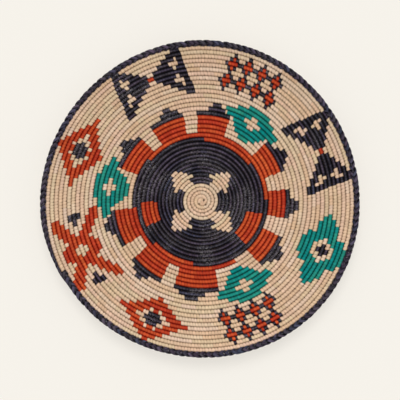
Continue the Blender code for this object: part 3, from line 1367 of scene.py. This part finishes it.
@dataclass
class StartKnot:
    """The coil's beginning: the bundle's bent tip, wraps round its wide side and strands over it."""

    coil: CoilPath
    winder: Winder
    material: bpy.types.Material
    bundle_material: bpy.types.Material
    seed: int = 31
    crease: float = 50.0
    wraps: int = 8
    wrap_start: float = 300.0
    wrap_end: float = 540.0
    wrap_spread: float = 0.2
    wrap_lean: float = 0.3
    crown: float = 0.5
    fullness: float = 0.7
    wrap_height: float = 0.94
    wrap_fall: float = 0.1
    under_share: float = 0.3
    groove_shade: float = 0.7
    middle_offset: float = 0.0010
    middle_bearing: float = 110.0
    strand: FlatStrand = FlatStrand(segments=8)
    strands: int = 4
    strand_spacing: float = 0.00145
    strand_half_width: float = 0.0009
    strand_half_thickness: float = 0.0005
    strand_bearing: float = 338.0
    length_spread: float = 0.12
    edge_shade: float = 0.4
    cap_radius: float = 0.0031
    cap_height: float = 0.98
    cap_fall: float = 0.42
    bundle_radius: float = 0.0052
    bundle_half_height: float = 0.0017

    @property
    def middle(self) -> tuple[float, float]:
        """Place of the knot's middle, a little off the plate's."""
        angle = math.radians(self.middle_bearing)
        return -self.middle_offset * math.sin(angle), self.middle_offset * math.cos(angle)

    def build(self) -> None:
        """Build the bent tip and what binds it."""
        self.build_tip()
        chance = np.random.default_rng(self.seed)
        parts = self.lay_wraps(chance).joined(self.lay_strands(chance))
        hang(build_piece("start_knot_wraps", parts, self.material, self.crease), Dye.NATURAL, "start_knot")

    def build_tip(self) -> None:
        """Build the bent tip of the bundle, a flattened round pad under the strands."""
        deselect_all()
        bpy.ops.mesh.primitive_uv_sphere_add(
            segments=20, ring_count=10, radius=1.0, location=(*self.middle, self.coil.mid_height),
            scale=(self.bundle_radius, self.bundle_radius, self.bundle_half_height))
        tip = bpy.context.object
        tip.name = "start_tip"
        bpy.ops.object.transform_apply(location=True, rotation=True, scale=True)
        tip.data.uv_layers[0].name = MAP_NAME
        tip.data.materials.append(self.bundle_material)
        bpy.ops.object.shade_smooth()
        hang(tip, Dye.NATURAL, "start_knot")

    def lay_wraps(self, chance: np.random.Generator) -> PieceMesh:
        """Lay wraps from the first turn's groove to under the strands over the middle.

        Args:
            chance: Draws their widths and shades.

        Returns:
            The mesh of the wraps.
        """
        coil, winder = self.coil, self.winder
        centre, width = uneven_steps(self.wrap_start, self.wrap_end, self.wraps, self.wrap_spread, chance)
        ring = winder.crowned(self.crown)
        share = 0.5 - (0.5 + winder.wrap.overlap) * ring * winder.cosine
        share = self.under_share + (1.0 - self.under_share) * share
        bearing = centre[:, None] + width[:, None] * (winder.along + self.wrap_lean * (share - 0.5))
        distance = coil.groove(bearing / FULL_TURN) * share
        rise = winder.rise(self.fullness, ring)
        height = coil.half_thickness * rise * (self.wrap_height - self.wrap_fall * (1.0 - share))
        height = np.where(height < 0, height * coil.back_share(distance), height)
        points = coil.place(distance, bearing, height)
        # Painted shade towards the grooves and round the stitch holes.
        depth = np.clip((1.0 - np.abs(rise)) * self.groove_shade, 0.0, 1.0)
        depth = np.maximum(depth, winder.hole_shade(points))
        return winder.shape.laid(points, winder.map_once, np.zeros((self.wraps, 1, 2)),
                                 chance.random(self.wraps), chance.random(self.wraps), depth)

    def lay_strands(self, chance: np.random.Generator) -> PieceMesh:
        """Lay flat strands side by side over the middle, on a low dome on both faces.

        Args:
            chance: Draws their lengths and shades.

        Returns:
            The mesh of the strands.
        """
        shape = self.strand.model()
        along, side, up = shape.points.T
        turned = math.radians(self.strand_bearing)
        laid = []
        for face in (1.0, -self.coil.mid_height / self.coil.half_thickness):
            for number in range(self.strands):
                offset = (number - (self.strands - 1) / 2) * self.strand_spacing
                half_length = math.sqrt(self.cap_radius ** 2 - offset ** 2)
                forward = 2 * half_length * (1.0 + self.length_spread * chance.random()) * along
                sideways = offset + side * self.strand_half_width
                reach = (forward ** 2 + sideways ** 2) / self.cap_radius ** 2
                dome = self.coil.half_thickness * (self.cap_height - self.cap_fall * reach)
                height = face * (dome + (up - 1.0) * self.strand_half_thickness)
                x = self.middle[0] - forward * math.sin(turned) + sideways * math.cos(turned)
                y = self.middle[1] + forward * math.cos(turned) + sideways * math.sin(turned)
                laid.append(np.stack((x, y, self.coil.mid_height + height), axis=-1))
        return self.strand.gather(shape, laid, self.edge_shade, chance)


@dataclass
class GrassBundle:
    """The bundle of grass that all wraps close over, from the knot to the coil's end."""

    coil: CoilPath
    material: bpy.types.Material
    step: float = 6.0
    facets: int = 8
    crease: float = 60.0
    half_width_share: float = 0.52
    half_height: float = 0.0018
    rim_radius: float = 0.0022
    tail_share: float = 0.8

    def tube(self, name: str, bearings: np.ndarray, distance: np.ndarray, half_width: np.ndarray,
             half_height: np.ndarray) -> bpy.types.Object:
        """Make a closed tube along the coil.

        Args:
            name: The piece's name.
            bearings: Bearings of its stations.
            distance: Distances to its middle line.
            half_width: Its half width at each station.
            half_height: Its half height at each station.

        Returns:
            The tube as an object.
        """
        around = np.arange(self.facets) * 2 * math.pi / self.facets
        reach = distance[:, None] + half_width[:, None] * np.cos(around)
        height = half_height[:, None] * np.sin(around)
        turned = np.repeat(bearings[:, None], self.facets, axis=1)
        height = np.where(height < 0, height * self.coil.back_share(reach), height)
        points = self.coil.place(reach, turned, height).reshape(-1, 3)
        faces, uv = [], []
        for station in range(len(bearings) - 1):
            for side in range(self.facets):
                following = (side + 1) % self.facets
                first, second = station * self.facets, (station + 1) * self.facets
                faces.append((first + side, second + side, second + following, first + following))
                uv += [(station, side), (station + 1, side), (station + 1, side + 1), (station, side + 1)]
        caps = [tuple(range(self.facets)), tuple(reversed(range(len(points) - self.facets, len(points))))]
        uv = np.concatenate((np.array(uv) / (1.0, self.facets), np.zeros((2 * self.facets, 2))))
        return build_piece(name, PieceMesh(points, faces + caps, uv), self.material, self.crease)

    def build(self) -> None:
        """Make the bundle under the rows and its last turn under the rim."""
        start, rim_start = self.coil.start, self.coil.rim_start
        bearings = np.linspace(start, rim_start, round((rim_start - start) / self.step))
        turn = bearings / FULL_TURN
        inner, outer = self.coil.groove(turn), self.coil.groove(turn + 1.0)
        hang(self.tube("grass_bundle", bearings, (inner + outer) / 2, (outer - inner) * self.half_width_share,
                       np.full(len(turn), self.half_height)), Dye.NATURAL)
        tail_end = self.coil.end + self.tail_share * self.coil.tail_angle
        bearings = np.linspace(rim_start, tail_end, round(FULL_TURN / (self.step / 2)))
        radius = self.rim_radius * self.coil.rim_taper(bearings)
        hang(self.tube("rim_bundle", bearings, self.coil.rim_centre(bearings), radius, radius),
             Dye.NATURAL, "rim_core")


@dataclass
class RimPlait:
    """The plaited navy binding of the last turn, whose strands meet in a V along the crest.

    Each strand starts under its neighbours on the crest, goes over the inner side, under the
    back, over the outer side, and ends on the crest again, one pitch or so further on.
    """

    coil: CoilPath
    material: bpy.types.Material
    seed: int = 53
    crease: float = 60.0
    pitch: float = 0.0075
    strand: FlatStrand = FlatStrand()
    strand_half_width: float = 0.0019
    strand_half_thickness: float = 0.0006
    under_share: float = 0.4
    edge_shade: float = 0.9
    lay_radius: float = 0.0032
    way: float = -1.0
    marks: tuple[float, ...] = (0.0, 0.08, 0.18, 0.30, 0.50, 0.68, 0.80, 0.90, 1.0)
    angles: tuple[float, ...] = (58.0, 92.0, 144.0, 192.0, 270.0, 352.0, 398.0, 440.0, 472.0)
    places: tuple[float, ...] = (0.62, 0.34, -0.06, -0.42, 0.10, 0.60, 1.0, 1.36, 1.62)
    lifts: tuple[float, ...] = (0.66, 0.92, 1.22, 1.12, 1.0, 1.0, 1.06, 1.08, 0.80)
    stations: int = 121
    rounding: int = 9
    place_spread: float = 0.17
    width_spread: float = 0.22
    radius_spread: float = 0.05

    def route(self, share: np.ndarray) -> list[np.ndarray]:
        """Give the strand's way round the rim, with its corners rounded.

        Args:
            share: Shares of its length, from 0 to 1.

        Returns:
            Angles round the rim in degrees, with 0 outwards and 90 at the crest, places along the
            rim in pitches, and how far out the strand lies, in shares of the lay radius.
        """
        window = np.ones(self.rounding) / self.rounding
        lines = []
        for values in (self.angles, self.places, self.lifts):
            line = np.pad(np.interp(share, self.marks, values), self.rounding // 2, mode="edge")
            lines.append(np.convolve(line, window, mode="valid"))
        return lines

    def build(self) -> None:
        """Lay the strands along the rim and hang the binding on the plate's body."""
        shape = self.strand.model()
        chance = np.random.default_rng(self.seed)
        coil = self.coil
        start, end = coil.rim_start, coil.end
        mean_radius = coil.row_radius(start + FULL_TURN / 2)
        units = round(math.radians(end - start) * mean_radius / self.pitch)
        step = (end - start) / units
        x, side, up = shape.points.T
        up = np.where(up < 0, up * self.under_share, up)
        fine = np.linspace(0.0, 1.0, self.stations)
        fine_angle, fine_place, fine_lift = self.route(fine)
        arc = np.gradient(np.radians(fine_angle) * self.lay_radius, fine)
        run = np.gradient(fine_place * self.pitch, fine)
        length = np.hypot(arc, run)
        angle, place, lift, side_arc, side_run = (
            np.interp(x + 0.5, fine, line)
            for line in (fine_angle, fine_place, fine_lift, -run / length, arc / length))

        laid = []
        for unit in range(units + 2 * math.floor(coil.tail_angle / step)):
            # In the tail, past the coil's end, the strands lie twice as close.
            place_in_row = min(unit, (unit + units) / 2)
            lateral = side * self.strand_half_width * (1.0 + jitter(chance, self.width_spread))
            radial = self.lay_radius * lift + up * self.strand_half_thickness
            radial = radial * (1.0 + jitter(chance, self.radius_spread))
            turned = np.radians(angle) + lateral * side_arc / self.lay_radius
            moved = self.way * (place * self.pitch + lateral * side_run)
            shifted = place_in_row + 0.5 + jitter(chance, self.place_spread)
            bearing = start + step * shifted + np.degrees(moved / mean_radius)
            bearing = np.clip(bearing, start, end + coil.tail_angle)
            radial = radial * coil.rim_taper(bearing)
            distance = coil.rim_centre(bearing) + radial * np.cos(turned)
            laid.append(coil.place(distance, bearing, radial * np.sin(turned)))
        parts = self.strand.gather(shape, laid, self.edge_shade, chance)
        hang(build_piece("rim_plait", parts, self.material, self.crease), Dye.NAVY, "rim_braid")


@dataclass
class Studio:
    """The pale floor, the soft light and the camera."""

    floor_size: float = 8.0
    floor_roughness: float = 0.9
    floor_glow: float = 0.7
    backdrop: ScreenColour = (248, 244, 236)
    ambient: float = 0.72
    sun_share: float = 0.38
    sun_tilt: float = 30.0
    sun_softness: float = 30.0
    camera_height: float = 2.4
    frame_width: float = 0.4745
    rim_height: float = 0.022
    aim: tuple[float, float] = (-0.0018, 0.0011)

    def build(self) -> None:
        """Set the stage."""
        self.make_floor()
        self.make_light()
        self.make_camera()
        bpy.context.scene.view_settings.view_transform = "Standard"

    def make_floor(self) -> None:
        """Lay a wide, matt, pale floor under the plate, which the camera sees a share brighter."""
        deselect_all()
        bpy.ops.mesh.primitive_plane_add(size=self.floor_size, location=(0.0, 0.0, 0.0))
        floor = bpy.context.object
        floor.name = "floor"
        sheet = MaterialSheet("floor_paint", self.floor_roughness, 0.0)
        sheet.fill(sheet.shader.inputs["Base Color"], linear(self.backdrop))
        glow = sheet.node("ShaderNodeEmission", {"Color": (*linear(self.backdrop), 1.0)})
        seen = sheet.node("ShaderNodeLightPath").outputs["Is Camera Ray"]
        painted = sheet.mix_shaders(sheet.combine("MULTIPLY", seen, self.floor_glow),
                                    sheet.shader.outputs["BSDF"], glow.outputs["Emission"])
        sheet.link(painted, sheet.tree.nodes["Material Output"].inputs["Surface"])
        floor.data.materials.append(sheet.material)

    def make_light(self) -> None:
        """Light from all round, and a soft lamp from beyond the plate's top."""
        world = bpy.data.worlds.new("studio")
        bpy.context.scene.world = world
        world.use_nodes = True
        world.node_tree.nodes.clear()
        sheet = NodeSheet(world.node_tree)
        light = sheet.node("ShaderNodeBackground", {"Strength": self.ambient})
        shown = sheet.node("ShaderNodeBackground", {"Color": (*linear(self.backdrop), 1.0)})
        rays = sheet.node("ShaderNodeLightPath").outputs
        straight = sheet.combine("MAXIMUM", rays["Is Camera Ray"], rays["Is Glossy Ray"])
        seen = sheet.combine("MAXIMUM", straight, rays["Is Transmission Ray"])
        sheet.link(sheet.mix_shaders(seen, light.outputs[0], shown.outputs[0]),
                   sheet.node("ShaderNodeOutputWorld").inputs["Surface"])

        tilt = math.radians(self.sun_tilt)
        deselect_all()
        bpy.ops.object.light_add(type="SUN", location=(0.0, 1.0, 1.5), rotation=(-tilt, 0.0, 0.0))
        sun = bpy.context.object
        sun.name = "soft_lamp"
        sun.data.energy = math.pi * self.sun_share / math.cos(tilt)
        sun.data.angle = math.radians(self.sun_softness)

    def make_camera(self) -> None:
        """Look straight down on the plate, with its top up."""
        deselect_all()
        bpy.ops.object.camera_add(location=(*self.aim, self.camera_height), rotation=(0.0, 0.0, 0.0))
        camera = bpy.context.object
        camera.name = "front_camera"
        distance = self.camera_height - self.rim_height
        camera.data.lens = camera.data.sensor_width * distance / self.frame_width
        bpy.context.scene.camera = camera


def main() -> None:
    """Load the frame, dress every part of it, set the stage and note the sizes."""
    logging.basicConfig(level=logging.INFO, format="%(message)s")
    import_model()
    coil = CoilPath()
    winder = Winder(coil, Wrap())
    materials = {dye: finish.material() for dye, finish in FINISHES.items()}
    WoundRows(Pattern(coil), winder, materials).build()
    grass = BundleFinish().material()
    StartKnot(coil, winder, materials[Dye.NATURAL], grass).build()
    GrassBundle(coil, grass).build()
    RimPlait(coil, RIM_FINISH.material()).build()
    Studio().build()


if __name__ == "__main__":
    main()
